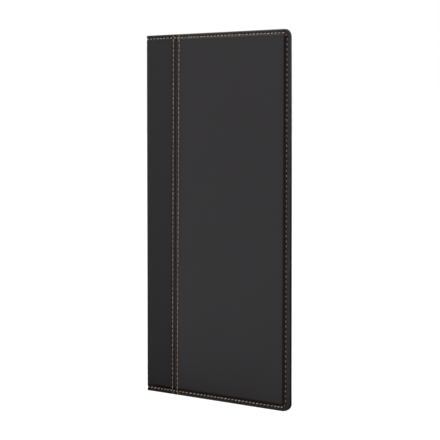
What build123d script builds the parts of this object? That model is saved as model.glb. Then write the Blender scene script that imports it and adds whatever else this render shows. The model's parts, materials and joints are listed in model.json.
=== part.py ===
"""Guest check presenter: a slim two-cover folder of stitched leatherette, standing closed.

X runs from the spine to the fore-edge, Y through the closed folder with the front cover at -Y,
and Z up the height. The origin is at the middle of the foot. All sizes are in millimetres.
The covers are alike outside, so the back one's pieces are the front one's, mirrored in Y = 0.
"""

from build123d import *
import os

# --- Driving dimensions -----------------------------------------------------------------
WIDTH = 130.0  # spine to fore-edge, closed
HEIGHT = 240.0
THICKNESS = 4.2  # over both covers, closed
CORNER = 5.0  # radius of the fore-edge corners

SKIN = 0.6  # outer leatherette
BOARD = 0.65  # stiffener, as thick as the leatherette turned in round its edge
LINING = 0.3
POCKET = 0.45  # leatherette of the pockets
HEM = 0.4  # what the fold at a pocket's mouth adds

SEAM_FROM_SPINE = 28.2  # where the spine band meets the smooth panel
SEAM_GAP = 0.2
TURN_IN = 3.2  # width of the leatherette turned in round the edge
EDGE_ROUND = 0.45
FOLD_RADIUS = 1.2  # outside of the two folds along the spine
FOLD_REACH = 1.1  # how far the folding strip runs past each hinge line

STITCH_INSET = 2.4  # outer rows, from the edge
SEAM_ROW = 2.5  # seam rows, each side of the seam
PITCH = 3.15  # stitch length, hole to hole
THREAD = 0.5
STITCH_SHARE = 0.78  # how much of the pitch the thread shows for
GROOVE_WIDTH = 1.1  # the thread pulls the leatherette in along each row
GROOVE_DEPTH = 0.3

BOARD_INSET = TURN_IN + 0.4
LINING_INSET = 1.2

BILL_POCKET_TOP = 95.0
BILL_POCKET_SIDE = -57.0  # its sewn edge near the spine
BILL_NOTCH_RADIUS, BILL_NOTCH_DEPTH = 24.0, 9.0
CARD_POCKET_WIDTH, CARD_POCKET_HEIGHT = 94.0, 58.0
CARD_POCKET_FOOT = 118.0
CARD_NOTCH_RADIUS, CARD_NOTCH_DEPTH = 16.0, 9.0
POCKET_CORNER = 3.0
HEM_WIDTH = 6.0
POCKET_ROW_INSET = 1.5  # its rows, from its sewn edges
POCKET_THREAD = 0.25  # how far those rows stand on their leatherette

# --- Places worked out from them --------------------------------------------------------
SPINE_EDGE = -WIDTH / 2
FORE_EDGE = WIDTH / 2
OUTER = THICKNESS / 2
HINGE_X = SPINE_EDGE + FOLD_RADIUS
HINGE_Y = OUTER - FOLD_RADIUS  # front hinge line at -HINGE_Y, back one at +HINGE_Y
BAND_START = HINGE_X + FOLD_REACH
BOARD_START = BAND_START + 1.5
SEAM = SPINE_EDGE + SEAM_FROM_SPINE
LINING_DEPTH = SKIN + BOARD
POCKET_DEPTH = LINING_DEPTH + LINING
LINING_HALF = OUTER - LINING_DEPTH  # half the space between the covers, linings included
LINING_BEND_X = HINGE_X + 1.05  # centre of the lining's bend at the spine
MIDDLE_X = (BILL_POCKET_SIDE + FORE_EDGE) / 2
BEYOND = 5.0  # how far cutting shapes run past what they cut


# --- Helpers ----------------------------------------------------------------------------
def layer(outline, depth, thickness):
    """A flat layer of the front cover: its outer side lies `depth` under the cover's face."""
    return extrude(Plane.XZ.offset(OUTER - depth) * outline, amount=-thickness)


def cover_outline(x_start, inset):
    """The cover's outline from x_start to the fore-edge, drawn in by `inset` on three sides."""
    wide, tall = FORE_EDGE - inset - x_start, HEIGHT - 2 * inset
    sheet = Pos(x_start, inset) * Rectangle(wide, tall, align=(Align.MIN, Align.MIN))
    return fillet(sheet.vertices().group_by(Axis.X)[-1], CORNER - inset)


def block(x0, x1, z0, z1):
    """A plain rectangle of a cover's outline."""
    return Pos(x0, z0) * Rectangle(x1 - x0, z1 - z0, align=(Align.MIN, Align.MIN))


def edge_ring(x_start, outer_inset, inner_inset):
    """A strip along the head, fore-edge and foot, between two insets from the edge."""
    return cover_outline(x_start, outer_inset) - cover_outline(x_start - BEYOND, inner_inset)


def to_back(solid):
    """The same piece on the back cover."""
    return mirror(solid, about=Plane.XZ)


# --- Outer shell: panels, spine band and its fold ---------------------------------------
EDGE_GROOVE = (STITCH_INSET - GROOVE_WIDTH / 2, STITCH_INSET + GROOVE_WIDTH / 2)


def turned_sheet(outline, turn_in, open_edges):
    """Leatherette with its edges turned in, rounded along those edges, inside and out."""
    sheet = layer(outline, 0, SKIN) + layer(turn_in, SKIN, BOARD)
    faces = sheet.faces().sort_by(Axis.Y)
    outside = [e for e in faces[0].edges() if open_edges(e.center())]
    inner_side = [f for f in faces if f.center().Y > -OUTER + LINING_DEPTH - 0.01]
    inside = [e for f in inner_side for e in f.edges() if on_cover_edge(e.center())]
    return fillet(outside + inside, EDGE_ROUND)


def on_cover_edge(point):
    """Whether a point lies on the cover's head, foot, fore-edge or rounded corners."""
    near_side = point.X > FORE_EDGE - CORNER / 2
    return near_side or point.Z < EDGE_ROUND or point.Z > HEIGHT - EDGE_ROUND


def front_panel():
    """Smooth leatherette from the seam to the fore-edge."""
    start = SEAM + SEAM_GAP / 2
    panel = turned_sheet(
        cover_outline(start, 0), edge_ring(start, 0, TURN_IN),
        lambda p: p.X < start + 0.01 or on_cover_edge(p),
    )
    row = SEAM + SEAM_ROW
    panel -= layer(edge_ring(start - BEYOND, *EDGE_GROOVE), 0, GROOVE_DEPTH)
    panel -= layer(block(row - GROOVE_WIDTH / 2, row + GROOVE_WIDTH / 2, 0, HEIGHT), 0, GROOVE_DEPTH)
    return panel


def band_leg():
    """The stretch of the textured spine band that lies flat on the front cover."""
    end = SEAM - SEAM_GAP / 2
    turned = block(BAND_START, end, 0, TURN_IN) + block(BAND_START, end, HEIGHT - TURN_IN, HEIGHT)
    leg = turned_sheet(
        block(BAND_START, end, 0, HEIGHT), turned,
        lambda p: p.X > end - 0.01 or on_cover_edge(p),
    )
    row = SEAM - SEAM_ROW
    leg -= layer(edge_ring(BAND_START - BEYOND, *EDGE_GROOVE), 0, GROOVE_DEPTH)
    leg -= layer(block(row - GROOVE_WIDTH / 2, row + GROOVE_WIDTH / 2, 0, HEIGHT), 0, GROOVE_DEPTH)
    return leg


def u_profile(leg_end, bend_x, bend_y, radius):
    """A face round the spine: two legs joined by two rounded bends, which meet if bend_y is 0."""
    left, side = bend_x - radius, bend_y + radius
    lines = [
        Line((leg_end, -side), (bend_x, -side)),
        RadiusArc((bend_x, -side), (left, -bend_y), radius),
        RadiusArc((left, bend_y), (bend_x, side), radius),
        Line((bend_x, side), (leg_end, side)),
        Line((leg_end, side), (leg_end, -side)),
    ]
    if bend_y > 0:
        lines.append(Line((left, -bend_y), (left, bend_y)))
    return make_face(lines)


def u_strip(leg_end, bend_x, bend_y, radius, thickness, z0, z1):
    """A strip of even thickness folded round the spine."""
    outside = u_profile(leg_end, bend_x, bend_y, radius)
    inside = u_profile(leg_end + BEYOND, bend_x, bend_y, radius - thickness)
    return extrude(Pos(0, 0, z0) * (outside - inside), amount=z1 - z0)


def band_fold():
    """The part of the spine band that bends, round both hinge lines."""
    fold = u_strip(BAND_START, HINGE_X, HINGE_Y, FOLD_RADIUS, SKIN, 0, HEIGHT)
    for low in (EDGE_GROOVE[0], HEIGHT - EDGE_GROOVE[1]):
        fold -= u_strip(BAND_START, HINGE_X, HINGE_Y, FOLD_RADIUS, GROOVE_DEPTH, low, low + GROOVE_WIDTH)
    return fold


# --- Inside the covers ------------------------------------------------------------------
def cover_board():
    """Stiff board that fills the cover within the turned edges."""
    return layer(cover_outline(BOARD_START, BOARD_INSET), SKIN, BOARD)


def cover_lining():
    """Fabric lining over the board and the turned edges."""
    return layer(cover_outline(BOARD_START, LINING_INSET), LINING_DEPTH, LINING)


def spine_strip():
    """Narrow stiffener that keeps the spine flat between its two folds."""
    thick, side = BOARD, HINGE_Y - 0.1
    x = SPINE_EDGE + SKIN + thick / 2
    return Pos(x, 0, HEIGHT / 2) * Box(thick, 2 * side, HEIGHT - 2 * BOARD_INSET)


def spine_lining():
    """The lining's hinge strip, bent between the two covers."""
    return u_strip(
        BOARD_START, LINING_BEND_X, 0, LINING_HALF, LINING, LINING_INSET, HEIGHT - LINING_INSET
    )


def hemmed_pocket(outline, mouth, notch_radius, notch_depth):
    """A pocket sheet with a folded hem and a thumb notch at its mouth, (x, z) its middle."""
    x, z = mouth
    cut = Pos(x, z - notch_depth + notch_radius) * Circle(notch_radius)
    hem = outline & block(x - WIDTH, x + WIDTH, z - HEM_WIDTH, z)
    return layer(outline - cut, POCKET_DEPTH, POCKET) + layer(hem - cut, POCKET_DEPTH + POCKET, HEM)


def bill_pocket():
    """Wide pocket for the bill, at the foot of the back cover's inside."""
    outline = cover_outline(BILL_POCKET_SIDE, LINING_INSET)
    outline &= block(SPINE_EDGE, FORE_EDGE, 0, BILL_POCKET_TOP)
    mouth = (MIDDLE_X, BILL_POCKET_TOP)
    return to_back(hemmed_pocket(outline, mouth, BILL_NOTCH_RADIUS, BILL_NOTCH_DEPTH))


def card_pocket():
    """Card-sized pocket in the middle of the front cover's inside."""
    half = CARD_POCKET_WIDTH / 2
    top = CARD_POCKET_FOOT + CARD_POCKET_HEIGHT
    outline = block(MIDDLE_X - half, MIDDLE_X + half, CARD_POCKET_FOOT, top)
    outline = fillet(outline.vertices().group_by(Axis.Y)[0], POCKET_CORNER)
    return hemmed_pocket(outline, (MIDDLE_X, top), CARD_NOTCH_RADIUS, CARD_NOTCH_DEPTH)


# --- Stitching --------------------------------------------------------------------------
def stitch(start, end, depth, height, outward):
    """One stitch between two needle holes on the front cover: flat on top, sloped at the ends.
    It stands `height` on a surface at `depth`; outward is -1 towards the face, 1 towards the inside.
    """
    along = (end - start).normalized()
    length = (end - start).length
    normal = Vector(0, outward, 0)
    foot = Plane((start + end) / 2 + Vector(0, depth - OUTER, 0), x_dir=along, z_dir=along.cross(normal))
    half, top = length / 2, length / 2 - height * 1.5
    side = make_face(Polyline((-half, 0), (half, 0), (top, height), (-top, height), close=True))
    return extrude(foot * side, amount=THREAD / 2, both=True)


def stitched(path, depth, height, outward):
    """Evenly spaced stitches along a path of (x, z) points and curves."""
    count = round(path.length / PITCH)
    pitch, slack = 1 / count, (1 - STITCH_SHARE) / 2
    holes = [((k + slack) * pitch, (k + 1 - slack) * pitch) for k in range(count)]
    ends = [[path.position_at(t) for t in pair] for pair in holes]
    return [stitch(*[Vector(p.X, 0, p.Y) for p in pair], depth, height, outward) for pair in ends]


def edge_stitches():
    """The row along the head, fore-edge and foot of a cover."""
    x, low, high = FORE_EDGE - STITCH_INSET, STITCH_INSET, HEIGHT - STITCH_INSET
    corners = [(BAND_START, low), (x, low), (x, high), (BAND_START, high)]
    path = FilletPolyline(*corners, radius=CORNER - STITCH_INSET)
    return Compound(stitched(path, GROOVE_DEPTH, GROOVE_DEPTH, -1))


def seam_stitches():
    """The two rows beside the seam, each with a short stitch beyond the edge rows."""
    solids = []
    near, far = STITCH_INSET - THREAD, STITCH_INSET + THREAD
    for x in (SEAM - SEAM_ROW, SEAM + SEAM_ROW):
        row = Line((x, far), (x, HEIGHT - far))
        solids += stitched(row, GROOVE_DEPTH, GROOVE_DEPTH, -1)
        for low, high in ((EDGE_ROUND, near), (HEIGHT - near, HEIGHT - EDGE_ROUND)):
            ends = Vector(x, 0, low), Vector(x, 0, high)
            solids.append(stitch(*ends, GROOVE_DEPTH, GROOVE_DEPTH, -1))
    return Compound(solids)


def bill_pocket_stitches():
    """The row that holds the bill pocket's edge near the spine."""
    x = BILL_POCKET_SIDE + STITCH_INSET
    row = Line((x, STITCH_INSET + THREAD), (x, BILL_POCKET_TOP - HEM_WIDTH))
    return to_back(Compound(stitched(row, POCKET_DEPTH + POCKET, POCKET_THREAD, 1)))


def card_pocket_stitches():
    """The row round three sides of the card pocket."""
    low = CARD_POCKET_FOOT + POCKET_ROW_INSET
    high = CARD_POCKET_FOOT + CARD_POCKET_HEIGHT - HEM_WIDTH
    left = MIDDLE_X - CARD_POCKET_WIDTH / 2 + POCKET_ROW_INSET
    right = MIDDLE_X + CARD_POCKET_WIDTH / 2 - POCKET_ROW_INSET
    path = FilletPolyline((left, high), (left, low), (right, low), (right, high), radius=POCKET_CORNER)
    return Compound(stitched(path, POCKET_DEPTH + POCKET, POCKET_THREAD, 1))


# --- The nodes --------------------------------------------------------------------------
front = {
    "panel": front_panel(),
    "spine_band": band_leg(),
    "board": cover_board(),
    "lining": cover_lining(),
    "edge_stitches": edge_stitches(),
    "seam_stitches": seam_stitches(),
}
nodes = {f"front_{name}": solid for name, solid in front.items()}
nodes |= {f"back_{name}": to_back(solid) for name, solid in front.items()}
nodes |= {
    "spine_band_fold": band_fold(),
    "spine_strip": spine_strip(),
    "spine_lining": spine_lining(),
    "bill_pocket": bill_pocket(),
    "bill_pocket_stitches": bill_pocket_stitches(),
    "card_pocket": card_pocket(),
    "card_pocket_stitches": card_pocket_stitches(),
}

os.makedirs("parts", exist_ok=True)
for name, solid in nodes.items():
    export_step(solid, f"parts/{name}.step")
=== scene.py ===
"""Guest check presenter: the leatherette, lining, pockets and thread of a slim stitched folder.

Every sheet is cut flat, shaped flat, and then laid round the folder. On the flat sheet, x runs
from the middle of the spine round to the fore-edge, y is the depth under the cover's outer face,
and z is the height. Lengths are in metres, and the front cover lies at -Y.
"""

import json
import math
import random
from contextlib import contextmanager
from functools import partial

import bmesh
import bpy
import numpy as np
from bpy.props import FloatProperty, FloatVectorProperty, IntProperty, PointerProperty
from mathutils import Matrix, Quaternion, Vector


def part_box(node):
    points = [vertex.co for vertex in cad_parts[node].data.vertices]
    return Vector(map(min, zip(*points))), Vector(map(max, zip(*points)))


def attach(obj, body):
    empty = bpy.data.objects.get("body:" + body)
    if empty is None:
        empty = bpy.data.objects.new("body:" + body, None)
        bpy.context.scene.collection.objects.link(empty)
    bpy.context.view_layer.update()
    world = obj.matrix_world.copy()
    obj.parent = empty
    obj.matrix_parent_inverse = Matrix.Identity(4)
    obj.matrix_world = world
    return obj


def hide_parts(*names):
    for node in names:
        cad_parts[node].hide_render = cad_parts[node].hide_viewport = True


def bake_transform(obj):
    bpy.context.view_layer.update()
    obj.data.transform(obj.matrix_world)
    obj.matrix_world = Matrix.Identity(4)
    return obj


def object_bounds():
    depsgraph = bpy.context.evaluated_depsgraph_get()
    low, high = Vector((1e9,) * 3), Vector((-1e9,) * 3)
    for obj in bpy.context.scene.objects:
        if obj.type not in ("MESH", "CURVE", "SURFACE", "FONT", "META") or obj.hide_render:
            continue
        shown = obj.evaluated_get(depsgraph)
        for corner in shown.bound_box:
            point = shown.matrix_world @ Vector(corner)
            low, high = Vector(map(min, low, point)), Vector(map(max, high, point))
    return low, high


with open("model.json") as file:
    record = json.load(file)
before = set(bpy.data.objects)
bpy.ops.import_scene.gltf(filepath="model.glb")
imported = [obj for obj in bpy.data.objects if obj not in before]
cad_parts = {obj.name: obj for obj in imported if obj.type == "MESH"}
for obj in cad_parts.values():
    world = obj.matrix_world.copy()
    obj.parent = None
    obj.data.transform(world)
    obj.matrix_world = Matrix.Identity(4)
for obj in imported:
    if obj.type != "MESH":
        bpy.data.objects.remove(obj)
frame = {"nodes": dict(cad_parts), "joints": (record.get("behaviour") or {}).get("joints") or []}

bl_info = {
    "name": "Guest check presenter",
    "version": (1, 0, 0),
    "blender": (4, 5, 0),
    "location": "3D View > Sidebar > Presenter",
    "description": "Builds a slim folder of stitched leatherette round its frame",
    "category": "Object",
}

MM = 0.001

# --- Places taken from the frame --------------------------------------------------------
CAD_LOW, CAD_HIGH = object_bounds()
HEIGHT = CAD_HIGH.z
HALF = CAD_HIGH.y  # half the closed thickness
FOLD = Vector(next(j for j in frame["joints"] if j["name"] == "cover_fold")["pos_m"])
FOLD_RADIUS = HALF + FOLD.y
SPINE_HALF = -FOLD.y  # flat part of the spine, from its middle to the fold
LEG_START = SPINE_HALF + FOLD_RADIUS * math.pi / 2  # where the cover's flat face begins
FORE_EDGE = LEG_START + CAD_HIGH.x - FOLD.x
PANEL_LOW, PANEL_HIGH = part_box("front_panel")
BAND_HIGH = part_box("front_spine_band")[1]
LINING_LOW, LINING_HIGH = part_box("front_lining")
BOARD_LOW, BOARD_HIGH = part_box("front_board")
STRIP_LOW, STRIP_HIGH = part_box("spine_lining")
BILL_LOW, BILL_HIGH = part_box("bill_pocket")
CARD_LOW, CARD_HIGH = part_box("card_pocket")


def round_from_spine(x):
    """The flat sheet's x of a place on the cover's face."""
    return LEG_START + x - FOLD.x


SEAM = round_from_spine((PANEL_LOW.x + BAND_HIGH.x) / 2)  # where band and panel meet
EDGE_DEPTH = PANEL_HIGH.y - PANEL_LOW.y  # leatherette and what is turned in behind it
LINING_FACE = HALF + LINING_HIGH.y  # depth of the lining's face under the cover's outer face
LINING_INSET = LINING_LOW.z
POCKET_SKIN = 0.24 * MM
POCKET_FACE = LINING_FACE + 2.1 * POCKET_SKIN  # the pockets' faces at their hems


# --- What a user would change -----------------------------------------------------------
class PresenterSizes(bpy.types.PropertyGroup):
    """Sizes of the sewing and of the leatherette."""

    corner: FloatProperty(
        name="Corner radius", description="Radius of the two corners at the fore-edge",
        default=5 * MM, unit="LENGTH",
    )
    skin: FloatProperty(
        name="Leatherette", description="Thickness of the outer leatherette",
        default=0.55 * MM, unit="LENGTH",
    )
    turn_in: FloatProperty(
        name="Turn-in", description="Width of leatherette folded in round the edge",
        default=3.2 * MM, unit="LENGTH",
    )
    stitch_inset: FloatProperty(
        name="Edge row", description="Distance of the edge stitching from the edge",
        default=2.4 * MM, unit="LENGTH",
    )
    seam_row: FloatProperty(
        name="Seam rows", description="Distance of each row of stitches from the seam",
        default=2.5 * MM, unit="LENGTH",
    )
    pitch: FloatProperty(
        name="Stitch length", description="Distance between needle holes",
        default=3.15 * MM, unit="LENGTH",
    )
    thread: FloatProperty(
        name="Thread", description="Width of the sewing thread where it lies on the surface",
        default=0.52 * MM, unit="LENGTH",
    )
    slant: FloatProperty(
        name="Slant", description="How far each stitch turns from the line of its row",
        default=math.radians(9), subtype="ANGLE",
    )
    valley: FloatProperty(
        name="Valley", description="How deep the thread pulls the leatherette in along a row",
        default=0.28 * MM, unit="LENGTH",
    )
    valley_width: FloatProperty(
        name="Valley width", description="Half the width over which the leatherette is pulled in",
        default=0.75 * MM, unit="LENGTH",
    )
    hole: FloatProperty(
        name="Needle hole", description="How much deeper the leatherette goes in at a needle hole",
        default=0.2 * MM, unit="LENGTH",
    )
    hole_width: FloatProperty(
        name="Hole width", description="Radius of the dent round a needle hole",
        default=0.42 * MM, unit="LENGTH",
    )
    seam_roll: FloatProperty(
        name="Seam roll", description="Radius of the folded edges that meet at the seam",
        default=0.5 * MM, unit="LENGTH",
    )
    lean: FloatProperty(
        name="Lean", description="How far a closed cover leans in at the fore-edge",
        default=0.5 * MM, unit="LENGTH",
    )
    draw_in: FloatProperty(
        name="Draw-in", description="How far the back cover stays behind at the fore-edge's head",
        default=0.4 * MM, unit="LENGTH",
    )
    press: FloatProperty(
        name="Sewn margin", description="How much lower the sewn margin lies than the middle",
        default=0.5 * MM, unit="LENGTH",
    )
    margin: FloatProperty(
        name="Margin width", description="Distance from the edge to where the padded middle begins",
        default=4.6 * MM, unit="LENGTH",
    )
    hem: FloatProperty(
        name="Pocket hem", description="Width of leatherette folded under at a pocket's mouth",
        default=6 * MM, unit="LENGTH",
    )
    seed: IntProperty(
        name="Seed", description="Starts the small unevenness of the sewing", default=7,
    )


class PresenterColours(bpy.types.PropertyGroup):
    """Colours of the finishes."""

    panel: FloatVectorProperty(
        name="Panels", description="Smooth leatherette of the covers",
        default=(0.0184, 0.0162, 0.0184), subtype="COLOR",
    )
    band: FloatVectorProperty(
        name="Spine band", description="Fine ribbed leatherette of the spine band",
        default=(0.0086, 0.0082, 0.0102), subtype="COLOR",
    )
    pocket: FloatVectorProperty(
        name="Pockets", description="Leatherette of the pockets",
        default=(0.017, 0.017, 0.0185), subtype="COLOR",
    )
    lining: FloatVectorProperty(
        name="Lining", description="Woven lining",
        default=(0.012, 0.012, 0.0135), subtype="COLOR",
    )
    thread: FloatVectorProperty(
        name="Thread", description="Sewing thread",
        default=(0.36, 0.21, 0.11), subtype="COLOR",
    )
    # painted highlight: this pale colour stands in for light caught on the thread's outer fibres
    thread_sheen: FloatVectorProperty(
        name="Thread highlight", description="The thread's pale outer fibres",
        default=(0.80, 0.70, 0.56), subtype="COLOR",
    )
    board: FloatVectorProperty(
        name="Board", description="Grey board of the stiffeners",
        default=(0.27, 0.26, 0.24), subtype="COLOR",
    )


def sizes():
    """The sizes that the panel shows."""
    return bpy.context.scene.presenter_sizes


def colours():
    """The colours that the panel shows."""
    return bpy.context.scene.presenter_colours


# --- Working by hand --------------------------------------------------------------------
def nothing_selected():
    """Leaves edit mode and deselects everything."""
    if bpy.context.object and bpy.context.object.mode != "OBJECT":
        bpy.ops.object.mode_set(mode="OBJECT")
    bpy.ops.object.select_all(action="DESELECT")


def take(obj):
    """Makes one object the selected and active one."""
    nothing_selected()
    obj.select_set(True)
    bpy.context.view_layer.objects.active = obj


@contextmanager
def editing(obj):
    """Edit mode on one object, for the lines inside."""
    take(obj)
    bpy.ops.object.mode_set(mode="EDIT")
    yield
    bpy.ops.object.mode_set(mode="OBJECT")


def pick(obj, kind, test):
    """In edit mode, selects the vertices, edges or faces that pass a test."""
    bpy.ops.mesh.select_mode(type=kind)
    bpy.ops.mesh.select_all(action="DESELECT")
    shape = bmesh.from_edit_mesh(obj.data)
    parts = {"VERT": shape.verts, "EDGE": shape.edges, "FACE": shape.faces}[kind]
    for part in parts:
        part.select_set(test(part))
    shape.select_flush_mode()
    bmesh.update_edit_mesh(obj.data)


def modify(obj, kind, **settings):
    """Adds a modifier with these settings and applies it."""
    take(obj)
    modifier = obj.modifiers.new(kind.title(), kind)
    for name, value in settings.items():
        setattr(modifier, name, value)
    bpy.ops.object.modifier_apply(modifier=modifier.name)


def places(obj):
    """An object's vertices as columns x, y and z."""
    flat = np.zeros(len(obj.data.vertices) * 3)
    obj.data.vertices.foreach_get("co", flat)
    return flat.reshape(-1, 3).T.copy()


def put(obj, x, y, z):
    """Moves an object's vertices to new places."""
    obj.data.vertices.foreach_set("co", np.stack([x, y, z], 1).ravel())
    obj.data.update()


# --- From the flat sheet to the folder --------------------------------------------------
def round_corners(x, z):
    """Rounds the fore-edge corners: square rings about a corner's centre become round ones."""
    radius = sizes().corner
    centre = FORE_EDGE - radius
    top = z > HEIGHT / 2
    u = x - centre
    v = np.where(top, z - (HEIGHT - radius), radius - z)
    inside = (u > 0) & (v > 0)
    reach = np.maximum(np.maximum(u, v), 1e-9)  # never nothing, as it divides
    lean = np.minimum(u, v) / reach * math.pi / 4
    angle = np.where(u >= v, lean, math.pi / 2 - lean)
    round_v = reach * np.sin(angle)
    new_x = np.where(inside, centre + reach * np.cos(angle), x)
    new_z = np.where(inside, np.where(top, HEIGHT - radius + round_v, radius - round_v), z)
    return new_x, new_z


def bend(x, depth, fold_x, flat_half, radius):
    """Bends a flat sheet round a fold, and gives the places in the folder's X and Y."""
    turn = np.clip((x - flat_half) / radius, 0, math.pi / 2)
    out_x, out_y = -np.cos(turn), -np.sin(turn)
    leg = np.maximum(x - flat_half - radius * math.pi / 2, 0)
    spare = np.maximum(flat_half - x, 0)
    new_x = fold_x + (radius - depth) * out_x + leg
    new_y = -flat_half + (radius - depth) * out_y + spare
    return new_x, new_y


def askew(x, z):
    """Shifts the rows beside the seam and the one along the fore-edge to how they were sewn."""
    seam_skew, seam_reach, spread = 1.7, 14, 0.1  # mm from head to foot, mm aside, share per mm
    foot_shift, head_shift = 0.9, 0.2  # mm inwards along the fore-edge
    high = z / HEIGHT
    off = (x - SEAM) / MM
    near_seam = seam_skew * MM * (1 + spread * off) * np.exp(-((off / seam_reach) ** 4))
    shift = (foot_shift - (foot_shift - head_shift) * high) * MM
    rows_in = (FORE_EDGE - x) / sizes().stitch_inset  # 1 at the row; the shift has died out at 5
    near_edge = shift * np.clip(rows_in, 0, 1) * np.clip((5 - rows_in) / 3, 0, 1)
    return x + near_seam * (high - 0.5) - near_edge


def lay(obj, back=False, fold=(FOLD.x, SPINE_HALF, FOLD_RADIUS)):
    """Lays a flat piece round the folder, on the front cover or, mirrored, on the back one.

    What lies before x = 0 goes on over the spine to the other cover's side.
    """
    x, depth, z = places(obj)
    out = np.clip((x - LEG_START) / (FORE_EDGE - LEG_START), 0, 1)
    high = np.clip(z / HEIGHT, 0, 1)
    leant = out * high**3 if back else out  # the back cover gives way at its head alone
    new_x, new_y = bend(np.abs(askew(x, z)), depth, *fold)
    new_y = np.where(x < 0, -new_y, new_y + leant * sizes().lean)
    if back:
        new_x, new_y = new_x - out * high * sizes().draw_in, -new_y
    put(obj, new_x, new_y, z)
    if back:
        with editing(obj):
            bpy.ops.mesh.select_all(action="SELECT")
            bpy.ops.mesh.flip_normals()


# --- Rows of stitches on the flat sheet -------------------------------------------------
def edge_point(s, inset):
    """Place at a length s along the edge row, from the spine's middle at the head."""
    corner = sizes().corner
    run, radius = FORE_EDGE - corner, corner - inset
    arc, side = radius * math.pi / 2, HEIGHT - 2 * corner
    if s < run:
        return s, HEIGHT - inset
    s -= run
    if s < arc:
        return run + radius * math.sin(s / radius), HEIGHT - corner + radius * math.cos(s / radius)
    s -= arc
    if s < side:
        return FORE_EDGE - inset, HEIGHT - corner - s
    s -= side
    if s < arc:
        return run + radius * math.cos(s / radius), corner - radius * math.sin(s / radius)
    return run - (s - arc), inset


def edge_holes(inset):
    """Needle holes of the edge row, spaced evenly from the spine round to the spine."""
    corner = sizes().corner
    length = 2 * (FORE_EDGE - corner) + (corner - inset) * math.pi + HEIGHT - 2 * corner
    count = round(length / sizes().pitch)
    return [edge_point(length * (k + 0.5) / count, inset) for k in range(count)]


def straight_holes(start, end):
    """Needle holes of a straight row, spaced evenly, ends included."""
    start, end = Vector(start), Vector(end)
    count = max(1, round((end - start).length / sizes().pitch))
    return [tuple(start.lerp(end, k / count)) for k in range(count + 1)]


def seam_rows():
    """The rows beside the seam, each as lists of holes: the long run and its short ends."""
    s = sizes()
    clear, rim = s.thread, 0.5 * MM
    rows = []
    for x in (SEAM - s.seam_row, SEAM + s.seam_row):
        low, high = s.stitch_inset + clear, HEIGHT - s.stitch_inset - clear
        rows.append(straight_holes((x, low), (x, high)))
        near = s.stitch_inset - clear
        rows.append([(x, rim), (x, near)])
        rows.append([(x, HEIGHT - near), (x, HEIGHT - rim)])
    return rows


def edge_distance(x, z):
    """Distance in from the cover's edge, on the sheet with its corners rounded."""
    corner = sizes().corner
    square = np.minimum(np.minimum(FORE_EDGE - x, z), HEIGHT - z)
    u = x - (FORE_EDGE - corner)
    v = np.maximum(z - (HEIGHT - corner), corner - z)
    return np.where((u > 0) & (v > 0), corner - np.hypot(u, v), square)


def pressed(x, z):
    """How far the pressing of the cover's edges brings its face in."""
    s = sizes()
    step = 1.1 * MM  # width of the step down to the margin
    share = np.clip((s.margin - edge_distance(x, z)) / step, 0, 1)
    return s.press * share * share * (3 - 2 * share) * side_weight(x, z)


def side_weight(x, z):
    """How sharply a side's margin steps down: not at the head nor at the spine."""
    corner_fade, spine_fade = 4 * MM, 9 * MM
    head = np.clip((z - HEIGHT + FORE_EDGE - x) / corner_fade, 0, 1)
    return (1 - head) * np.clip((x - LEG_START) / spine_fade, 0, 1)


def tightness(x):
    """How much tighter the row along the fore-edge is drawn than the others, from 0 to 1."""
    start, fade = 5.5 * MM, 2 * MM  # distance in from the fore-edge, and how fast it grows
    return np.clip((x - FORE_EDGE + start) / fade, 0, 1)


def dent(distance, width):
    """A smooth dent, 1 at its middle."""
    return np.exp(-((distance / width) ** 2))


def row_distance(x, z):
    """Distance from the nearest row of stitches."""
    s = sizes()
    seams = np.minimum(np.abs(x - SEAM + s.seam_row), np.abs(x - SEAM - s.seam_row))
    return np.minimum(np.abs(edge_distance(x, z) - s.stitch_inset), seams)


def pulled_in(x, z):
    """How deep the sewing pulls the leatherette in, with its seam edges rolled over."""
    s = sizes()
    away = row_distance(x, z)
    depth = s.valley * (1 + 0.5 * tightness(x)) * dent(away, s.valley_width)
    near = away < 3 * s.hole_width
    holes = np.array(edge_holes(s.stitch_inset) + [hole for row in seam_rows() for hole in row])
    nearest = np.full(x.shape, 1.0)  # far from any hole
    at = np.stack([x[near], z[near]], 1)
    gaps = [np.hypot(*(at - hole).T) for hole in holes]
    nearest[near] = np.min(gaps, axis=0)
    depth += s.hole * dent(nearest, s.hole_width)
    rolled = np.clip(s.seam_roll - np.abs(x - SEAM), 0, s.seam_roll)
    depth += s.seam_roll - np.sqrt(s.seam_roll**2 - rolled**2)
    return np.minimum(depth, s.skin * 0.8)  # the leatherette is never pulled right through


def in_shade(x, z, depth):
    """Painted shade on the leatherette, from 0 to 1: on the margin's step, in the valleys, holes
    and seam roll the sewing pulls in, and beside the rows.
    """
    s = sizes()
    step_middle, step_width, row_width = 0.55 * MM, 0.85 * MM, 1.8 * MM
    step = dent(edge_distance(x, z) - s.margin + step_middle, step_width) * side_weight(x, z)
    beside = dent(row_distance(x, z), row_width)
    return np.clip(0.75 * step + 0.5 * depth / s.skin + 0.4 * beside, 0, 1)


def unevenness(x, z, size, seed):
    """Slow, faint waves over a sheet, as hand-laid leatherette has."""
    draw = random.Random(seed)
    waves, slowest, fastest = 6, 60, 190  # radians to the metre
    total = np.zeros_like(x)
    for _ in range(waves):
        angle, phase = draw.uniform(0, math.pi), draw.uniform(0, 2 * math.pi)
        rate = draw.uniform(slowest, fastest)
        total += np.sin((x * math.cos(angle) + z * math.sin(angle)) * rate + phase)
    return total * size / waves


def sewn_face(x, z):
    """Depth at which the thread lies in a row on the cover's face."""
    drop = pressed(x, z)
    return drop + sizes().valley * (1 + 1.5 * tightness(x)) * (1 - drop / EDGE_DEPTH)


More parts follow.
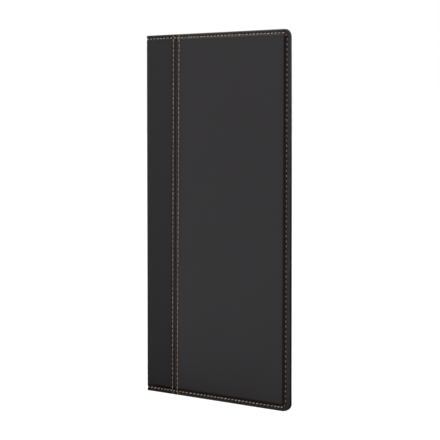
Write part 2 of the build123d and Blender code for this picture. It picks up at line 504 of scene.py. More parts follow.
# --- Sheets -----------------------------------------------------------------------------
def cut_sheet(name, x0, x1, z0, z1, cell, depth=0.0, inward=False):
    """A flat sheet as a grid, facing out of the cover or, for what lies inside, into it."""
    nothing_selected()
    across, up = x1 - x0, z1 - z0
    turn = -math.pi / 2 if inward else math.pi / 2
    bpy.ops.mesh.primitive_grid_add(
        x_subdivisions=max(1, round(across / cell)), y_subdivisions=max(1, round(up / cell)),
        size=1, location=((x0 + x1) / 2, depth, (z0 + z1) / 2), rotation=(turn, 0, 0),
    )
    sheet = bpy.context.object
    sheet.scale = (across, up, 1)
    bpy.ops.object.transform_apply(location=True, rotation=True, scale=True)
    sheet.name = sheet.data.name = name
    return sheet


def refine(sheet, near, cuts):
    """Subdivides the faces whose middles pass a test."""
    with editing(sheet):
        pick(sheet, "FACE", lambda f: near(f.calc_center_median()))
        bpy.ops.mesh.subdivide(number_cuts=cuts)


def turn_edges(sheet, steps, start, sides):
    """Extrudes a sheet's edges through (inset, depth) steps, which rolls them in.

    `sides` says which edges turn, from "head", "foot" and "fore"; the sheet ends `start` inside
    the cover's edge on them.
    """
    corner = sizes().corner
    centre = FORE_EDGE - corner
    small = 1e-6
    inset = start
    tests = {
        "head": lambda p: p.z > HEIGHT - start - small,
        "foot": lambda p: p.z < start + small,
        "fore": lambda p: p.x > FORE_EDGE - start - small,
    }

    def on_one_side(edge):
        return any(all(tests[side](v.co) for v in edge.verts) for side in sides)

    def roll_in(p, shift, share, depth):
        high = p.z > HEIGHT / 2
        up = p.z - (HEIGHT - corner) if high else corner - p.z
        out = p.x - centre
        if "fore" in sides and out > small and up > small:
            out, up = out * share, up * share
        elif up > corner - inset - small:
            up += shift
        elif "fore" in sides:
            out += shift
        p.x = centre + out
        p.z = HEIGHT - corner + up if high else corner - up
        p.y = depth

    with editing(sheet):
        pick(sheet, "EDGE", lambda e: e.is_boundary and on_one_side(e))
        for new_inset, depth in steps:
            bpy.ops.mesh.extrude_region()
            share = (corner - new_inset) / (corner - inset)
            for v in bmesh.from_edit_mesh(sheet.data).verts:
                if v.select:
                    roll_in(v.co, inset - new_inset, share, depth)
            inset = new_inset
            bmesh.update_edit_mesh(sheet.data)


def rolled_edge(radius, turn_in, steps=8):
    """(inset, depth) steps of an edge rolled through a half turn, then laid flat behind."""
    angles = [math.pi * (k + 1) / steps for k in range(steps)]
    rim = [(radius * (1 - math.sin(a)), radius * (1 - math.cos(a))) for a in angles]
    return rim + [((radius + turn_in) / 2, 2 * radius), (turn_in, 2 * radius)]


def smooth(obj, angle=50):
    """Shades an object smooth, with its sharp edges kept."""
    take(obj)
    bpy.ops.object.shade_smooth_by_angle(angle=math.radians(angle))


def outer_sheet(name, x0, x1, sides, back):
    """Outer leatherette, with turned edges, pulled in along its rows and laid on a cover."""
    s = sizes()
    radius = EDGE_DEPTH / 2
    end = min(x1, FORE_EDGE - radius)
    sheet = cut_sheet(name, x0, end, radius, HEIGHT - radius, s.pitch / 2)
    row_reach = s.valley_width * 2.1

    def near_row(p):
        edge = min(FORE_EDGE - p.x, p.z, HEIGHT - p.z)
        seams = min(abs(p.x - SEAM + s.seam_row), abs(p.x - SEAM - s.seam_row), abs(p.x - SEAM))
        return s.stitch_inset - row_reach < edge < s.margin or seams < row_reach

    refine(sheet, near_row, 3)
    refine(sheet, lambda p: abs(p.x - SEAM) < s.seam_roll, 1)
    if x0 < LEG_START:
        refine(sheet, lambda p: p.x < LEG_START + 0.5 * MM, 3)
    turn_edges(sheet, rolled_edge(radius, s.turn_in), radius, sides)
    modify(sheet, "SOLIDIFY", thickness=s.skin, offset=-1, use_even_offset=False)
    x, depth, z = places(sheet)
    outer = np.abs(depth) < 1e-7
    x, z = round_corners(x, z)
    drawn = np.zeros(len(x))
    drawn[outer] = pulled_in(x[outer], z[outer])
    depth += drawn
    # painted shade: the finishes darken, brown and dull the leatherette by this attribute
    shade = sheet.data.attributes.new("shade", "FLOAT", "POINT")
    shade.data.foreach_set("value", in_shade(x, z, drawn).astype(np.float32))
    waves, edge_fade = 0.05 * MM, 4 * MM
    faded = np.clip(edge_distance(x, z) / edge_fade, 0, 1)
    flat = (x > LEG_START) & outer
    depth[flat] += unevenness(x, z, waves, s.seed + back)[flat] * faded[flat]
    depth += pressed(x, z) * (1 - depth / EDGE_DEPTH)
    put(sheet, x, depth, z)
    lay(sheet, back)
    smooth(sheet)
    return sheet


def inner_sheet(name, x0, x1, z0, z1, face, thickness, back, sewn=True):
    """A sheet inside a cover, its face towards the opening, dented by the edge row."""
    s = sizes()
    sheet = cut_sheet(name, x0, x1, z0, z1, s.pitch / 2, depth=face, inward=True)

    def near_row(p):
        edge = min(FORE_EDGE - p.x, p.z, HEIGHT - p.z)
        return abs(edge - s.stitch_inset) < s.valley_width * 1.4

    refine(sheet, near_row, 2)
    modify(sheet, "SOLIDIFY", thickness=thickness, offset=-1, use_even_offset=False)
    x, depth, z = places(sheet)
    x, z = round_corners(x, z)
    shown = np.abs(depth - face) < 1e-7
    if sewn:
        valley = dent(np.abs(edge_distance(x, z) - s.stitch_inset), s.valley_width)
        depth[shown] -= thickness * 0.4 * valley[shown]
    put(sheet, x, depth, z)
    lay(sheet, back)
    smooth(sheet)
    return sheet


# --- Thread -----------------------------------------------------------------------------
def stitch_form(shown):
    """One stitch along X: twisted thread that dives into the holes beyond its shown share."""
    s = sizes()
    swelling, taper, flatness = 0.13, 0.35, 0.8
    length, arch, dive, deepest = 0.94, 0.36, 1.6, 0.65  # shares of the pitch and of the thread
    nothing_selected()
    bpy.ops.mesh.primitive_cylinder_add(
        vertices=8, radius=s.thread / 2, depth=s.pitch, rotation=(0, math.pi / 2, 0)
    )
    form = bpy.context.object
    bpy.ops.object.transform_apply(location=True, rotation=True, scale=True)
    with editing(form):
        pick(form, "EDGE", lambda e: abs(e.verts[0].co.x - e.verts[1].co.x) > s.pitch / 2)
        bpy.ops.mesh.subdivide(number_cuts=7)
    x, y, z = places(form)
    t = x / (s.pitch / 2)
    twist = t * math.radians(150)
    around = np.arctan2(z, y)
    swell = 1 + swelling * np.cos(2 * (around - twist))
    tip = 1 - taper * np.abs(t) ** 6
    y, z = y * swell * tip, z * swell * tip * flatness
    under = np.clip((np.abs(t) - shown) / (1 - shown), 0, 1) ** 1.4
    sunk = np.minimum(dive * under, deepest)  # deeper, its ends would come out on the far side
    put(form, x * length, y, z + s.thread * (arch * (1 - t**2) - sunk))
    smooth(form, 80)
    return form


def sew(name, rows, base, outward, seed, shown=0.6, slant=0.5):
    """Copies of the stitch from hole to hole along each row, joined as one flat piece.

    `base` gives the depth of the surface at a place, `outward` is 1 on the cover's face and -1 on
    its inside, `shown` is the share of a stitch that lies on the surface, and `slant` is the share
    of the full slant.
    """
    s = sizes()
    draw = random.Random(seed)
    form = stitch_form(shown)
    copies = []
    for row in rows:
        for (x0, z0), (x1, z1) in zip(row, row[1:]):
            length = math.hypot(x1 - x0, z1 - z0)
            middle = Vector(((x0 + x1) / 2, 0, (z0 + z1) / 2))
            middle.y = base(middle.x, middle.z)
            angle = math.atan2(z1 - z0, x1 - x0) + slant * s.slant * draw.uniform(0.6, 1.4)
            along = Vector((math.cos(angle), 0, math.sin(angle)))
            up = Vector((0, -outward, 0))
            side = up.cross(along)
            size = draw.uniform(0.95, 1.05)
            columns = [along * (length / s.pitch), side * size, up * size]
            turn = Matrix([c.to_tuple() for c in columns]).transposed().to_4x4()
            copy = form.copy()
            copy.data = form.data.copy()
            copy.matrix_world = Matrix.Translation(middle) @ turn
            bpy.context.collection.objects.link(copy)
            copies.append(copy)
    bpy.data.objects.remove(form)
    nothing_selected()
    for copy in copies:
        copy.select_set(True)
    bpy.context.view_layer.objects.active = copies[0]
    bpy.ops.object.join()
    thread = bpy.context.object
    bpy.ops.object.transform_apply(location=True, rotation=True, scale=True)
    thread.name = thread.data.name = name
    # painted shade: the band-side seam row and the fore-edge row are darkened in colour, as threads
    # lying deep in the leatherette would look
    if outward > 0:
        x = places(thread)[0]
        on_band = 0.1 * dent(x - SEAM + s.seam_row, 4 * MM)
        dark = np.maximum(on_band, 0.55 * tightness(x))
        shade = thread.data.attributes.new("shade", "FLOAT", "POINT")
        shade.data.foreach_set("value", dark.astype(np.float32))
    return thread


# --- Materials --------------------------------------------------------------------------
class Finish:
    """A material under construction, with short ways to add and join its nodes."""

    def __init__(self, name):
        self.material = bpy.data.materials.new(name)
        self.material.use_nodes = True
        self.nodes = self.material.node_tree.nodes
        self.shader = self.nodes["Principled BSDF"]

    def add(self, kind, inputs=None, **settings):
        """Adds a node; an input may be a number, a colour or another node's output."""
        node = self.nodes.new("ShaderNode" + kind)
        for name, value in settings.items():
            setattr(node, name, value)
        for name, value in (inputs or {}).items():
            self.join(value, node.inputs[name])
        return node

    def join(self, value, socket):
        """Links an output to a socket, or sets the socket to a plain value."""
        if isinstance(value, bpy.types.NodeSocket):
            self.material.node_tree.links.new(value, socket)
        else:
            socket.default_value = value

    def set(self, **values):
        """Sets or links the shader's inputs, with _ in a name for a space."""
        for name, value in values.items():
            self.join(value, self.shader.inputs[name.replace("_", " ")])

    def noise(self, place, scale, detail=3.0, roughness=0.5):
        """Grey noise at so many grains to the metre."""
        inputs = {"Vector": place, "Scale": scale, "Detail": detail, "Roughness": roughness}
        return self.add("TexNoise", inputs).outputs["Fac"]

    def sums(self, operation, a, b=0.0):
        """Arithmetic on one value or two."""
        node = self.add("Math", operation=operation)
        self.join(a, node.inputs[0])
        self.join(b, node.inputs[1])
        return node.outputs[0]

    def span(self, value, low, high):
        """A value from 0 to 1 stretched to run from low to high."""
        inputs = {"Value": value, "To Min": low, "To Max": high}
        return self.add("MapRange", inputs).outputs["Result"]

    def shade(self, colour, value, low, high):
        """A colour made darker and lighter by a value."""
        scaled = self.span(value, low, high)
        node = self.add("VectorMath", {0: colour[:3]}, operation="SCALE")
        self.join(scaled, node.inputs["Scale"])
        return node.outputs["Vector"]

    def painted_shade(self, colour, gloss):
        """Painted shade: a colour and a specular level that turn darker, browner and duller where
        the shade attribute is high.
        """
        brown, dull = (0.8, 0.46, 0.36), 0.06
        self.set(Specular_IOR_Level=gloss)
        shade = self.add("Attribute", attribute_name="shade").outputs["Fac"]
        dark = self.add("VectorMath", {0: colour, 1: brown}, operation="MULTIPLY")
        return self.mix(shade, colour, dark.outputs["Vector"]), self.span(shade, gloss, dull)

    def mix(self, share, one, other):
        """One colour going over into another."""
        node = self.add("Mix", {"Factor": share}, data_type="RGBA")
        self.join(one, node.inputs[6])
        self.join(other, node.inputs[7])
        return node.outputs[2]

    def relief(self, height, depth, strength=1.0):
        """Bump of a real depth in metres, given to the shader."""
        inputs = {"Height": height, "Distance": depth, "Strength": strength}
        self.set(Normal=self.add("Bump", inputs).outputs["Normal"])


def leatherette(name, colour, grain, roughness):
    """Smooth coated leatherette: fine pebbled grain, faint clouding and a soft satin gloss."""
    f = Finish(name)
    place = f.add("TexCoord").outputs["Object"]
    pebble = f.add("TexVoronoi", {"Vector": place, "Scale": grain, "Randomness": 1.0})
    creases = f.noise(place, grain * 0.45, 4.0, 0.6)
    cloud = f.noise(place, 28, 2.0, 0.5)
    height = f.sums("ADD", f.span(pebble.outputs["Distance"], 0, 0.7), f.span(creases, 0, 0.6))
    mottled = f.sums("ADD", f.span(cloud, 0, 0.7), f.span(creases, 0, 0.3))
    # painted shade: darker, browner and duller where the shade attribute is high
    shaded, gloss = f.painted_shade(f.shade(colour, mottled, 0.86, 1.14), 0.3)
    f.set(
        Base_Color=shaded,
        Roughness=f.span(creases, roughness - 0.06, roughness + 0.08),
        Specular_IOR_Level=gloss,
    )
    f.relief(height, 0.02 * MM, 0.8)
    return f.material


def ribbed_leatherette(name, colour):
    """The band's leatherette: fine level ribs, broken and slightly wavy, on a matt ground."""
    f = Finish(name)
    place = f.add("TexCoord").outputs["Object"]
    wander = f.noise(place, 220, 2.0, 0.5)
    height = f.add("SeparateXYZ", {"Vector": place}).outputs["Z"]
    level = f.sums("MULTIPLY", height, 2 * math.pi / (0.85 * MM))
    phase = f.sums("ADD", level, f.span(wander, -2.2, 2.2))
    ribs = f.sums("SINE", phase)
    crossing = f.add("Mapping", {"Vector": place, "Scale": (1, 1, 3.2)}).outputs["Vector"]
    grain = f.noise(crossing, 900, 3.0, 0.6)
    raised = f.sums("ADD", f.sums("MULTIPLY", ribs, 0.35), grain)
    # painted shade: the colour darkens in the grooves between the ribs, and again where the shade
    # attribute is high
    ribbed = f.shade(colour, f.sums("ADD", f.sums("MULTIPLY", ribs, 0.25), 0.5), 0.82, 1.18)
    shaded, gloss = f.painted_shade(ribbed, 0.25)
    f.set(Base_Color=shaded, Roughness=f.span(grain, 0.55, 0.72), Specular_IOR_Level=gloss)
    f.relief(raised, 0.045 * MM, 0.9)
    return f.material


def twisted_thread(name, colour, highlight):
    """Bonded thread: strands wound at a slant, pale where its outer fibres catch the light."""
    f = Finish(name)
    uv = f.add("TexCoord").outputs["UV"]
    split = f.add("SeparateXYZ", {"Vector": uv})
    around = f.sums("MULTIPLY", split.outputs["X"], 9.0)
    wound = f.sums("ADD", around, f.sums("MULTIPLY", split.outputs["Y"], 13.0))
    ply = f.sums("SINE", f.sums("MULTIPLY", wound, 2 * math.pi))
    place = f.add("TexCoord").outputs["Object"]
    fibre = f.noise(place, 5200, 3.0, 0.6)
    along = f.noise(place, 160, 2.0, 0.5)
    # painted highlight: the pale colour mixed in stands in for light caught on the outer fibres
    pale = f.sums("ADD", f.sums("MULTIPLY", ply, 0.22), f.span(along, 0.0, 0.75))
    mixed = f.mix(pale, (*colour, 1), (*highlight, 1))
    # painted shade: the thread darkens towards both ends of each stitch, where it goes into the
    # holes, and where its shade attribute is high
    aside = f.sums("ABSOLUTE", f.sums("SUBTRACT", split.outputs["Y"], 0.75))
    to_hole = f.sums("POWER", f.sums("MULTIPLY", aside, 4), 3)  # 1 at both ends of the stitch
    shade = f.add("Attribute", attribute_name="shade").outputs["Fac"]
    sunk = f.add("VectorMath", {0: mixed}, operation="SCALE")
    lit = f.sums("MULTIPLY", f.span(to_hole, 1.0, 0.55), f.span(shade, 1.0, 0.0))
    f.join(lit, sunk.inputs["Scale"])
    f.set(Base_Color=sunk.outputs["Vector"], Roughness=0.3, Specular_IOR_Level=0.7)
    f.relief(f.sums("ADD", f.sums("MULTIPLY", ply, 0.6), fibre), 0.03 * MM, 0.8)
    return f.material


def woven_lining(name, colour):
    """Plain-weave lining: over-and-under threads with a little slub."""
    f = Finish(name)
    place = f.add("TexCoord").outputs["Object"]
    split = f.add("SeparateXYZ", {"Vector": place})
    rate = 2 * math.pi / (0.7 * MM)
    across = f.sums("SINE", f.sums("MULTIPLY", split.outputs["X"], rate))
    up = f.sums("SINE", f.sums("MULTIPLY", split.outputs["Z"], rate))
    weave = f.sums("MULTIPLY", across, up)
    slub = f.noise(place, 420, 3.0, 0.55)
    raised = f.sums("ADD", f.sums("MULTIPLY", weave, 0.5), slub)
    f.set(
        Base_Color=f.shade(colour, f.sums("ADD", f.sums("MULTIPLY", weave, 0.3), slub), 0.6, 1.5),
        Roughness=f.span(slub, 0.75, 0.92),
        Specular_IOR_Level=0.25,
        Sheen_Weight=0.3,
    )
    f.relief(raised, 0.06 * MM, 0.9)
    return f.material


def grey_board(name, colour):
    """Recycled board: mottled grey with paler and darker fibres."""
    f = Finish(name)
    place = f.add("TexCoord").outputs["Object"]
    pulp = f.noise(place, 260, 4.0, 0.6)
    drawn = f.add("Mapping", {"Vector": place, "Scale": (0.25, 1, 1)}).outputs["Vector"]
    fibre = f.noise(drawn, 1500, 3.0, 0.7)
    mottled = f.sums("ADD", f.span(pulp, 0, 0.5), f.span(fibre, 0, 0.5))
    f.set(
        Base_Color=f.shade(colour, mottled, 0.7, 1.3),
        Roughness=f.span(fibre, 0.82, 0.95),
        Specular_IOR_Level=0.3,
    )
    f.relief(fibre, 0.03 * MM, 0.7)
    return f.material


FINISHES = {
    "panel": lambda: leatherette("smooth_leatherette", colours().panel, 1500, 0.47),
    "band": lambda: ribbed_leatherette("ribbed_leatherette", colours().band),
    "pocket": lambda: leatherette("pocket_leatherette", colours().pocket, 1100, 0.5),
    "lining": lambda: woven_lining("woven_lining", colours().lining),
    "thread": lambda: twisted_thread("orange_thread", colours().thread, colours().thread_sheen),
    "board": lambda: grey_board("grey_board", colours().board),
}
made = {}


def dress(obj, kind):
    """Gives a piece its finish."""
    if kind not in made:
        made[kind] = FINISHES[kind]()
    obj.data.materials.clear()
    obj.data.materials.append(made[kind])
    return obj


# --- The pieces -------------------------------------------------------------------------
COVERS = (("front", False), ("back", True))


class PanelsOperator(bpy.types.Operator):
    """Makes the smooth leatherette panels, from the seam to the fore-edge"""

    bl_idname = "presenter.panels"
    bl_label = "Smooth panels"

    def execute(self, context):
        for cover, back in COVERS:
            panel = outer_sheet(
                f"{cover}_smooth_panel", SEAM, FORE_EDGE, ("head", "foot", "fore"), back
            )
            dress(panel, "panel")
            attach(panel, f"{cover}_cover")
            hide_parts(f"{cover}_panel")
        return {"FINISHED"}


class BandOperator(bpy.types.Operator):
    """Makes the ribbed spine band, in two halves that meet at the middle of the spine"""

    bl_idname = "presenter.spine_band"
    bl_label = "Spine band"

    def execute(self, context):
        for cover, back in COVERS:
            band = outer_sheet(f"{cover}_ribbed_band", 0, SEAM, ("head", "foot"), back)
            dress(band, "band")
            fold_over(band, cover)
            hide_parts(f"{cover}_spine_band", "spine_band_fold")
        return {"FINISHED"}


def fold_over(piece, cover):
    """Bakes a piece's placing into its mesh, the same for either cover; it is not made to turn
    round the fold.
    """
    if cover == "front":
        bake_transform(piece)
    else:
        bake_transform(piece)


class LiningsOperator(bpy.types.Operator):
    """Makes the woven lining of each cover and the hinge strip between them"""

    bl_idname = "presenter.linings"
    bl_label = "Linings"

    def execute(self, context):
        start = round_from_spine(LINING_LOW.x)
        end, top = FORE_EDGE - LINING_INSET, HEIGHT - LINING_INSET
        thick = LINING_HIGH.y - LINING_LOW.y
        for cover, back in COVERS:
            lining = inner_sheet(
                f"{cover}_woven_lining", start, end, LINING_INSET, top, LINING_FACE, thick, back
            )
            dress(lining, "lining")
            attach(lining, f"{cover}_cover")
            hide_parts(f"{cover}_lining")
            strip = self.hinge_half(f"{cover}_hinge_lining", top, thick, back)
            dress(strip, "lining")
            self.turn_with(strip, cover)
            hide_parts("spine_lining")
        return {"FINISHED"}

    def hinge_half(self, name, top, thick, back):
        """Half of the strip that carries the lining round the inside of the spine."""
        radius = STRIP_HIGH.y
        bend_x = STRIP_LOW.x + radius
        length = radius * math.pi / 2 + STRIP_HIGH.x - bend_x
        strip = cut_sheet(name, 0, length, LINING_INSET, top, 0.3 * MM, depth=thick, inward=True)
        modify(strip, "SOLIDIFY", thickness=thick, offset=-1)
        lay(strip, back, fold=(bend_x, 0, radius))
        smooth(strip)
        return strip

    def turn_with(self, strip, cover):
        """Bakes the strip's placing into its mesh, the same for either cover; it is not stretched
        as the cover opens.
        """
        if cover == "front":
            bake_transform(strip)
        else:
            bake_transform(strip)


def notched_pocket(name, low, high, mouth, notch_radius, notch_depth, back, fixed_foot):
    """A pocket with a hem folded under along its mouth and a thumb notch in the middle.

    A pocket that is sewn down at its foot has blunt corners there.
    """
    s = sizes()
    cell, soft = 1.1 * MM, 1.2 * MM  # soft is how far the notch's shoulders are rounded
    x0, x1 = round_from_spine(low.x), round_from_spine(high.x)
    face = POCKET_FACE
    roll = (face - LINING_FACE) / 2
    plain = LINING_FACE + POCKET_SKIN
    sheet = cut_sheet(name, x0, x1, low.z, mouth - roll, cell, depth=face, inward=True)
    top = mouth - roll
    angles = [math.pi * (k + 1) / 6 for k in range(6)]
    steps = [(top + roll * math.sin(a), face - roll * (1 - math.cos(a))) for a in angles]
    steps += [(mouth - s.hem / 2, face - 2 * roll), (mouth - s.hem, face - 2 * roll)]
    with editing(sheet):
        pick(sheet, "EDGE", lambda e: e.is_boundary and all(v.co.z > top - 1e-6 for v in e.verts))
        for z, depth in steps:
            bpy.ops.mesh.extrude_region()
            for v in bmesh.from_edit_mesh(sheet.data).verts:
                if v.select:
                    v.co.z, v.co.y = z, depth
            bmesh.update_edit_mesh(sheet.data)
    x, depth, z = places(sheet)
    shown = depth > face - 1e-7
    ramp = 3 * MM  # from the single thickness up to the hem's two
    rise = np.clip((z - (mouth - s.hem - ramp)) / ramp, 0, 1)
    rise = rise * rise * (3 - 2 * rise)
    depth[shown] = (plain + (face - plain) * rise)[shown]
    off = np.abs(x - (x0 + x1) / 2)
    inside = notch_radius**2 - np.minimum(off, notch_radius) ** 2
    dip = np.maximum(0, notch_depth - notch_radius + np.sqrt(inside))
    dip = np.where(dip < soft, dip**2 / (2 * soft) + dip / 2, dip)
    still, moved = 30 * MM, 22 * MM  # rows of cells give way to the notch over this stretch
    z -= dip * np.clip((z - (mouth - still)) / moved, 0, 1)
    if fixed_foot:
        blunt, lift = 3 * MM, 1.6 * MM
        foot = np.clip((low.z + blunt - z) / blunt, 0, 1)
        corner = np.clip(1 - np.minimum(x - x0, x1 - x) / blunt, 0, 1)
        z += foot * corner**2 * lift
    put(sheet, x, depth, z)
    modify(sheet, "SOLIDIFY", thickness=POCKET_SKIN * 0.95, offset=-1, use_even_offset=False)
    x, depth, z = places(sheet)
    x, z = round_corners(x, z)
    put(sheet, x, depth, z)
    lay(sheet, back)
    smooth(sheet)
    return sheet


class BillPocketOperator(bpy.types.Operator):
    """Makes the wide bill pocket at the foot of the back cover's inside"""

    bl_idname = "presenter.bill_pocket"
    bl_label = "Bill pocket"

    def execute(self, context):
        low = Vector((BILL_LOW.x, 0, BILL_LOW.z))
        pocket = notched_pocket(
            "bill_pocket_leatherette", low, BILL_HIGH, BILL_HIGH.z, 24 * MM, 9 * MM, True, False
        )
        dress(pocket, "pocket")
        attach(pocket, "back_cover")
        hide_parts("bill_pocket")
        return {"FINISHED"}


class CardPocketOperator(bpy.types.Operator):
    """Makes the card pocket in the middle of the front cover's inside"""

    bl_idname = "presenter.card_pocket"
    bl_label = "Card pocket"

    def execute(self, context):
        pocket = notched_pocket(
            "card_pocket_leatherette", CARD_LOW, CARD_HIGH, CARD_HIGH.z, 16 * MM, 9 * MM, False,
            True,
        )
        dress(pocket, "pocket")
        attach(pocket, "front_cover")
        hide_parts("card_pocket")
        return {"FINISHED"}


class EdgeRowsOperator(bpy.types.Operator):
    """Sews the row round the head, fore-edge and foot of each cover, through to the inside"""

    bl_idname = "presenter.edge_rows"
    bl_label = "Edge rows"

    def execute(self, context):
        s = sizes()
        holes = edge_holes(s.stitch_inset)
        crossing = sum(x < LEG_START + s.pitch / 2 for x, _ in holes) // 2
        inside = sum(x < round_from_spine(LINING_LOW.x) for x, _ in holes) // 2
        for cover, back in COVERS:
            main = [holes[crossing:-crossing]]
            outer = sew(f"{cover}_edge_thread", main, sewn_face, 1, s.seed, 0.27, 1)
            lay(outer, back)
            dress(outer, "thread")
            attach(outer, f"{cover}_cover")
            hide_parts(f"{cover}_edge_stitches")
            ends = [holes[: crossing + 1], holes[-crossing - 1:]]
            if not back:
                mirrored = (-holes[0][0], holes[0][1]), (-holes[-1][0], holes[-1][1])
                ends = [[mirrored[0], *ends[0]], [*ends[1], mirrored[1]]]
            around = sew(f"{cover}_fold_thread", ends, sewn_face, 1, s.seed, 0.27, 1)
            lay(around, back)
            dress(around, "thread")
            fold_over(around, cover)
            rows = [holes[inside:-inside]]
            face = partial(self.inner_face, back)
            inner = sew(f"{cover}_inner_thread", rows, face, -1, s.seed + 1)
            lay(inner, back)
            dress(inner, "thread")
            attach(inner, f"{cover}_cover")
        return {"FINISHED"}

    def inner_face(self, back, x, z):
        """Depth of what the thread lies on inside: the bill pocket or the lining."""
        on_pocket = back and z < BILL_HIGH.z and x > round_from_spine(BILL_LOW.x)
        sunk = 0.18 * MM
        return LINING_FACE + (POCKET_SKIN if on_pocket else 0) - sunk


class SeamRowsOperator(bpy.types.Operator):
    """Sews the two rows beside the seam of each cover"""

    bl_idname = "presenter.seam_rows"
    bl_label = "Seam rows"

    def execute(self, context):
        s = sizes()
        for cover, back in COVERS:
            thread = sew(f"{cover}_seam_thread", seam_rows(), sewn_face, 1, s.seed + 2, 0.93, 0.3)
            lay(thread, back)
            dress(thread, "thread")
            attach(thread, f"{cover}_cover")
            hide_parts(f"{cover}_seam_stitches")
        return {"FINISHED"}


class PocketRowsOperator(bpy.types.Operator):
    """Sews the rows that hold the two pockets"""

    bl_idname = "presenter.pocket_rows"
    bl_label = "Pocket rows"

    def execute(self, context):
        s = sizes()
        inset = 1.5 * MM
        bill_x = round_from_spine(BILL_LOW.x) + s.stitch_inset
        bill_top = BILL_HIGH.z - s.hem
        bill = [straight_holes((bill_x, s.stitch_inset + s.thread), (bill_x, bill_top))]
        left, right = round_from_spine(CARD_LOW.x) + inset, round_from_spine(CARD_HIGH.x) - inset
        low, high = CARD_LOW.z + inset, CARD_HIGH.z - s.hem
        cut = 2 * MM
        card = [
            straight_holes((left, high), (left, low + cut))
            + straight_holes((left + cut, low), (right - cut, low))
            + straight_holes((right, low + cut), (right, high))
        ]
        rows = (("bill", bill, True, "back_cover"), ("card", card, False, "front_cover"))
        for pocket, row, back, body in rows:
            face = LINING_FACE + POCKET_SKIN - 0.1 * MM
            thread = sew(f"{pocket}_pocket_thread", row, lambda x, z: face, -1, s.seed + 3)
            lay(thread, back)
            dress(thread, "thread")
            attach(thread, body)
            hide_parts(f"{pocket}_pocket_stitches")
        return {"FINISHED"}


class StiffenersOperator(bpy.types.Operator):
    """Makes the stiffener board of each cover and finishes the spine's stiffener strip"""

    bl_idname = "presenter.stiffeners"
    bl_label = "Stiffeners"

    def execute(self, context):
        dress(frame["nodes"]["spine_strip"], "board")
        start, end = round_from_spine(BOARD_LOW.x), round_from_spine(BOARD_HIGH.x)
        thick = (BOARD_HIGH.y - BOARD_LOW.y) * 0.9
        for cover, back in COVERS:
            board = inner_sheet(
                f"{cover}_stiffener", start, end, BOARD_LOW.z, BOARD_HIGH.z,
                HALF + BOARD_HIGH.y - 0.02 * MM, thick, back, sewn=False,
            )
            dress(board, "board")
            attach(board, f"{cover}_cover")
            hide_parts(f"{cover}_board")
        return {"FINISHED"}


# --- The stage --------------------------------------------------------------------------
CAMERA_AZIMUTH = math.radians(44.746)
CAMERA_DISTANCE = 1.12946  # level distance from the folder's middle
CAMERA_HEIGHT = 0.181365
CAMERA_TURN = math.radians(-0.1017)  # the camera looks a little past the middle
CAMERA_DOWN = math.radians(3.1898)
CAMERA_ROLL = math.radians(0.0267)
CAMERA_LENS = 142.184
LAMPS = {  # place, size in metres and power in watts
    "top_lamp": ((0.2, -0.9, 2.1), 0.9, 9.0),
    "key_lamp": ((-1.3, -1.2, 1.7), 0.9, 49.0),
    "rear_lamp": ((0.3, 1.5, 0.9), 1.2, 20.0),
    "side_lamp": ((1.56, 0.36, 0.7), 0.5, 36.0),
}


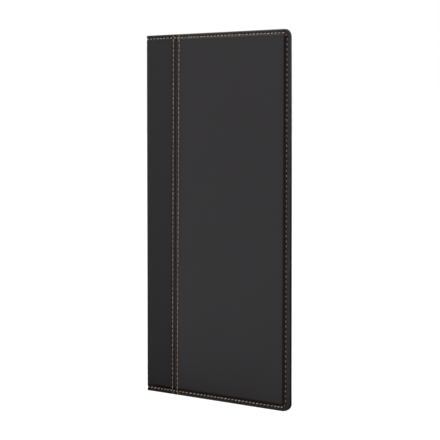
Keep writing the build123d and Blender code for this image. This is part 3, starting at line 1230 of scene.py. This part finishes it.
class StageOperator(bpy.types.Operator):
    """Makes the floor, the lamps, the world and the camera"""

    bl_idname = "presenter.stage"
    bl_label = "Stage"

    def execute(self, context):
        self.floor()
        self.world(context.scene)
        for name, (place, size, power) in LAMPS.items():
            self.lamp(name, place, size, power)
        self.camera(context.scene)
        context.scene.view_settings.view_transform = "Standard"
        return {"FINISHED"}

    def floor(self):
        """A wide white floor that keeps the folder's shadow, and glows in the covers' reflections
        as a painted reflection.
        """
        nothing_selected()
        bpy.ops.mesh.primitive_circle_add(vertices=64, radius=30, fill_type="NGON")
        floor = bpy.context.object
        floor.name = "floor"
        f = Finish("white_floor")
        f.set(Base_Color=(0.3, 0.3, 0.3, 1), Roughness=0.9, Specular_IOR_Level=0.1)
        path = f.add("LightPath")
        place = f.add("TexCoord").outputs["Object"]
        away = f.add("VectorMath", {0: place}, operation="LENGTH").outputs["Value"]
        white = {"Value": away, "From Min": 0.1, "From Max": 1.2, "To Min": 0.8, "To Max": 1.0}
        white = f.add("MapRange", white, interpolation_type="SMOOTHSTEP").outputs["Result"]
        aside = f.sums("ABSOLUTE", f.add("SeparateXYZ", {"Vector": place}).outputs["Y"], 0)
        # painted reflection: to glossy rays the floor glows, from nothing right beside the folder
        # to full at 0.16 m to either side, so the covers mirror a dark strip there as if it were
        # shade
        soft = {"Value": aside, "From Min": 0.0, "From Max": 0.16, "To Min": 0.0, "To Max": 0.6}
        soft = f.add("MapRange", soft).outputs["Result"]
        seen = f.sums("MULTIPLY", path.outputs["Is Camera Ray"], white)
        mirrored = f.sums("MULTIPLY", path.outputs["Is Glossy Ray"], soft)
        f.set(Emission_Color=(1, 1, 1, 1), Emission_Strength=f.sums("ADD", seen, mirrored))
        floor.data.materials.append(f.material)

    def world(self, scene):
        """White to the camera, and a plain soft light otherwise."""
        world = bpy.data.worlds.new("studio")
        world.use_nodes = True
        nodes, links = world.node_tree.nodes, world.node_tree.links
        path = nodes.new("ShaderNodeLightPath")
        level = nodes.new("ShaderNodeMapRange")
        level.inputs["To Min"].default_value = 0.14
        level.inputs["To Max"].default_value = 1.0
        links.new(path.outputs["Is Camera Ray"], level.inputs["Value"])
        background = nodes["Background"]
        background.inputs["Color"].default_value = (1, 1, 1, 1)
        links.new(level.outputs["Result"], background.inputs["Strength"])
        scene.world = world

    def lamp(self, name, place, size, power):
        """A square soft lamp aimed at the middle of the folder."""
        data = bpy.data.lights.new(name, "AREA")
        data.size, data.energy = size, power
        lamp = bpy.data.objects.new(name, data)
        bpy.context.collection.objects.link(lamp)
        lamp.location = place
        aim = Vector((0, 0, HEIGHT / 2)) - Vector(place)
        lamp.rotation_euler = aim.to_track_quat("-Z", "Y").to_euler()

    def camera(self, scene):
        """The photograph's view: low, well off to the fore-edge side, through a long lens."""
        data = bpy.data.cameras.new("camera")
        data.lens, data.sensor_width = CAMERA_LENS, 36
        camera = bpy.data.objects.new("camera", data)
        bpy.context.collection.objects.link(camera)
        sideways, forward = math.sin(CAMERA_AZIMUTH), math.cos(CAMERA_AZIMUTH)
        camera.location = (CAMERA_DISTANCE * sideways, -CAMERA_DISTANCE * forward, CAMERA_HEIGHT)
        look = CAMERA_AZIMUTH + CAMERA_TURN
        level = math.cos(CAMERA_DOWN)
        ahead = Vector((-math.sin(look) * level, math.cos(look) * level, -math.sin(CAMERA_DOWN)))
        turn = ahead.to_track_quat("-Z", "Y") @ Quaternion((0, 0, 1), CAMERA_ROLL)
        camera.rotation_euler = turn.to_euler()
        scene.camera = camera


class PresenterPanel(bpy.types.Panel):
    """Lists the folder's pieces, sizes and colours"""

    bl_idname = "VIEW3D_PT_presenter"
    bl_label = "Check presenter"
    bl_space_type = "VIEW_3D"
    bl_region_type = "UI"
    bl_category = "Presenter"

    def draw(self, context):
        for operator in OPERATORS:
            self.layout.operator(operator.bl_idname)
        for group in (context.scene.presenter_sizes, context.scene.presenter_colours):
            for name in group.__annotations__:
                self.layout.prop(group, name)


OPERATORS = (
    StageOperator,
    PanelsOperator,
    BandOperator,
    LiningsOperator,
    BillPocketOperator,
    CardPocketOperator,
    EdgeRowsOperator,
    SeamRowsOperator,
    PocketRowsOperator,
    StiffenersOperator,
)
CLASSES = (PresenterSizes, PresenterColours, *OPERATORS, PresenterPanel)


def register():
    """Registers the classes and puts the sizes and colours on the scene."""
    for item in CLASSES:
        bpy.utils.register_class(item)
    bpy.types.Scene.presenter_sizes = PointerProperty(type=PresenterSizes)
    bpy.types.Scene.presenter_colours = PointerProperty(type=PresenterColours)


def unregister():
    """Takes the sizes, the colours and the classes away again."""
    del bpy.types.Scene.presenter_colours
    del bpy.types.Scene.presenter_sizes
    for item in reversed(CLASSES):
        bpy.utils.unregister_class(item)


def main():
    register()
    for operator in OPERATORS:
        group, name = operator.bl_idname.split(".")
        getattr(getattr(bpy.ops, group), name)()
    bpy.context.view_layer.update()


if __name__ == "__main__":
    main()
